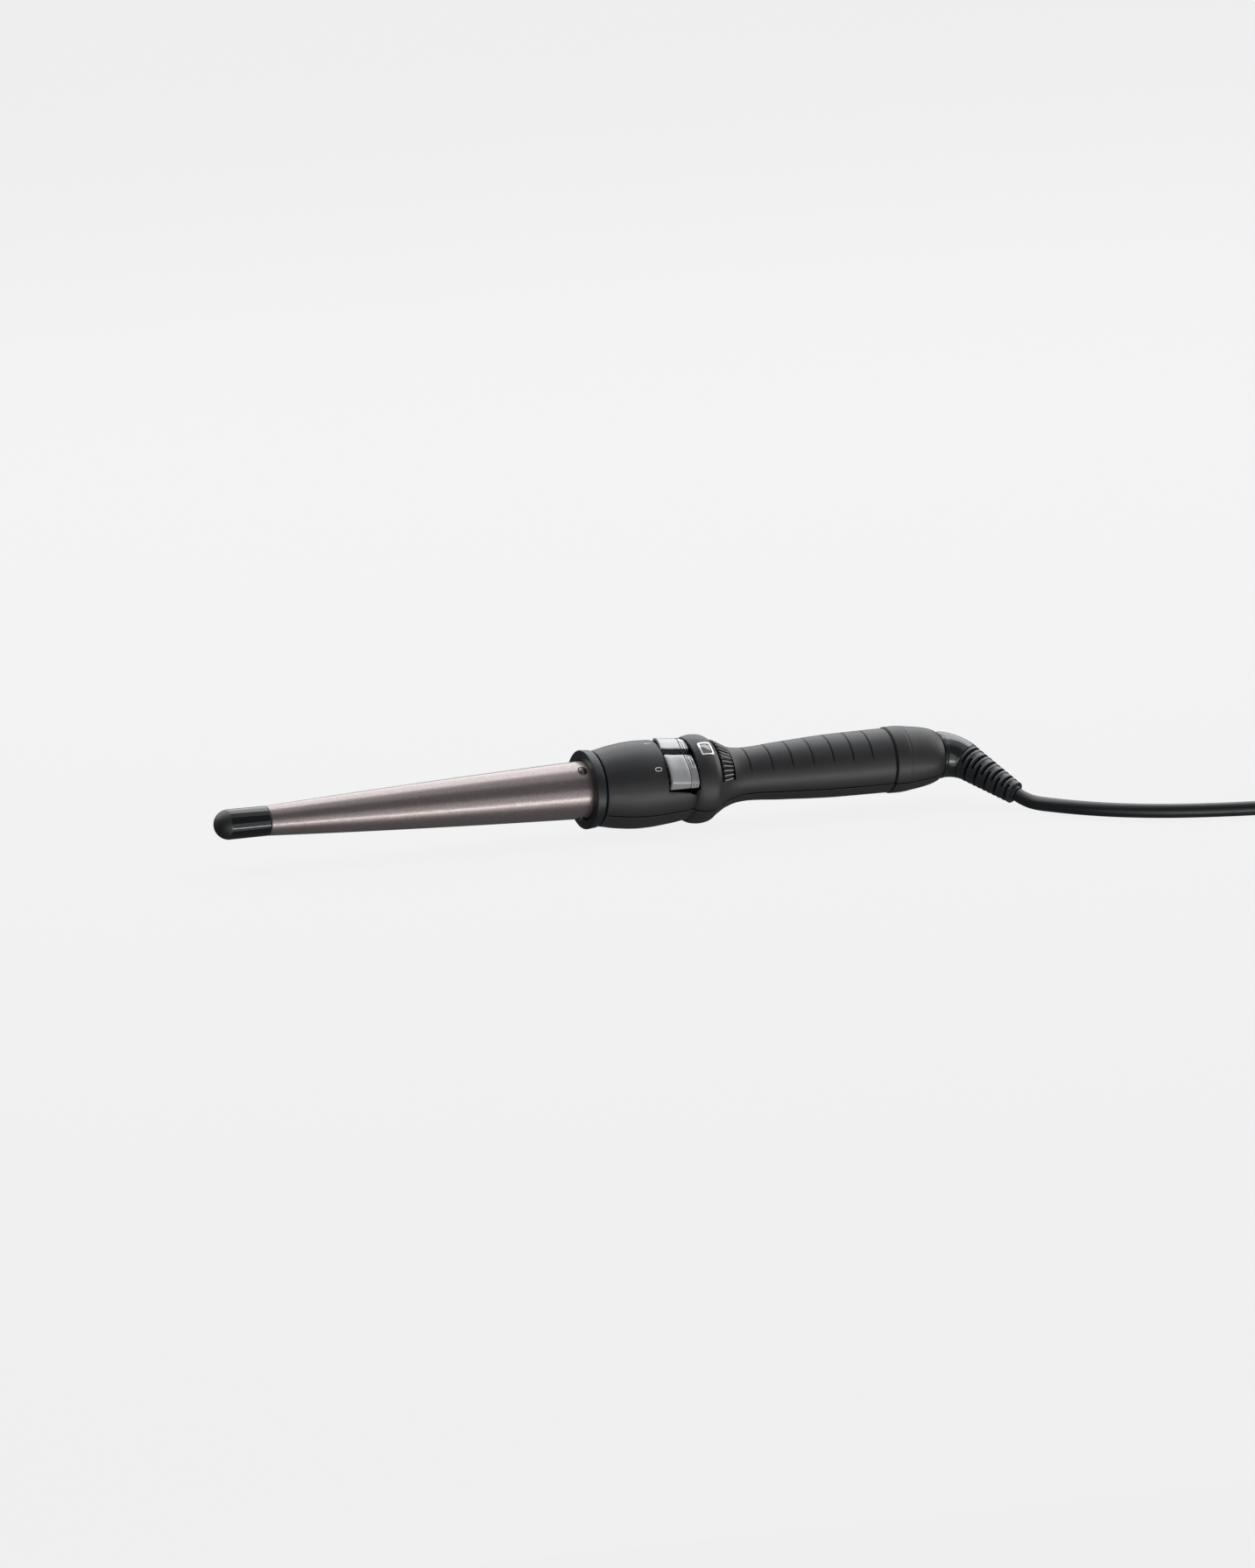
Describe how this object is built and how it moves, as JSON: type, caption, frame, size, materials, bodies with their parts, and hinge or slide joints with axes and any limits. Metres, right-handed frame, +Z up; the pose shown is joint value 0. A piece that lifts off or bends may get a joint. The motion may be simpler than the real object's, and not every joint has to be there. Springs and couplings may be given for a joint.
{
  "type": "curling wand",
  "caption": "Clipless conical curling wand with a collar, rocker switch, temperature dial, shaped grip and swivelling mains lead with its plug.",
  "frame": {"origin": "centre of the footprint of the wand without its cord, at the height of the table that it lies on", "axes": "+X along the wand's axis from the tip towards the cord exit, +Z up, controls rolled 35 degrees from +Z towards -Y"},
  "size_m": [0.5557, 0.1328, 0.0377],
  "materials": {
    "barrel_coating": "rosy grey mineral coating with a fine metallic sparkle, satin",
    "tip_plastic": "gloss black",
    "collar_plastic": "satin black",
    "soft_touch": "soft-touch dark grey lacquer",
    "rocker_silver": "satin silver-grey",
    "clear_plastic": "clear moulded plastic",
    "red_lamp": "translucent red",
    "dial_rubber": "ribbed black",
    "cord_rubber": "satin black",
    "tie_fabric": "woven black strap",
    "steel": "plated steel",
    "brass": "bare brass",
    "aluminium": "extruded",
    "ceramic": "fired ceramic",
    "board": "green solder mask",
    "black_plastic": "moulded black",
    "lead_sleeve": "braided glass sleeve"
  },
  "bodies": {
    "wand": {"cool_tip": "tip_plastic", "barrel": "barrel_coating", "barrel_screw_1": "steel", "barrel_screw_2": "steel", "barrel_screw_3": "steel", "barrel_carrier": "ceramic", "collar": "collar_plastic", "heater_plate": "ceramic", "heat_spreader_upper": "aluminium", "heat_spreader_lower": "aluminium", "spreader_spring": "steel", "temperature_sensor": "ceramic", "thermal_fuse": "steel", "upper_casing": "soft_touch", "lower_casing": "soft_touch", "casing_screw_1": "steel", "casing_screw_2": "steel", "casing_screw_3": "steel", "rocker_pin": "steel", "switch_body": "black_plastic", "indicator_lamp": "red_lamp", "switch_contact_1": "brass", "switch_contact_2": "brass", "potentiometer": "black_plastic", "number_window": "clear_plastic", "control_board": "board", "capacitor": "black_plastic", "power_triac": "black_plastic", "processor_chip": "black_plastic", "heater_lead_1": "lead_sleeve", "heater_lead_2": "lead_sleeve", "contact_brush_1": "brass", "contact_brush_2": "brass", "brush_holder": "black_plastic", "cord_lead": "cord_rubber", "cord_coil": "cord_rubber", "cord_tail": "cord_rubber", "cord_tie": "tie_fabric", "plug_body": "cord_rubber", "plug_pin_left": "brass", "plug_pin_right": "brass"},
    "rocker": {"rocker_cap": "rocker_silver", "rocker_lens": "clear_plastic"},
    "dial": {"dial_wheel": "dial_rubber", "number_drum": "black_plastic", "dial_spindle": "steel"},
    "swivel": {"swivel_elbow": "tip_plastic", "cord_guard": "cord_rubber", "slip_ring_1": "brass", "slip_ring_2": "brass"}
  },
  "joints": [
    {"name": "rocker_tilt", "type": "hinge", "parent": "wand", "child": "rocker", "pos_m": [0.0315, -0.00544, 0.02745], "axis": [1, 0, 0], "range_deg": [0, 10]},
    {"name": "dial_turn", "type": "hinge", "parent": "wand", "child": "dial", "pos_m": [0.055, -0.00085, 0.0209], "axis": [1, 0, 0], "range_deg": [0, 270]},
    {"name": "cord_swivel", "type": "hinge", "parent": "wand", "child": "swivel", "pos_m": [0.1529, 0.00058, 0.01885], "axis": [-1, 0, 0], "continuous": true, "deforming": ["cord_lead"]}
  ]
}
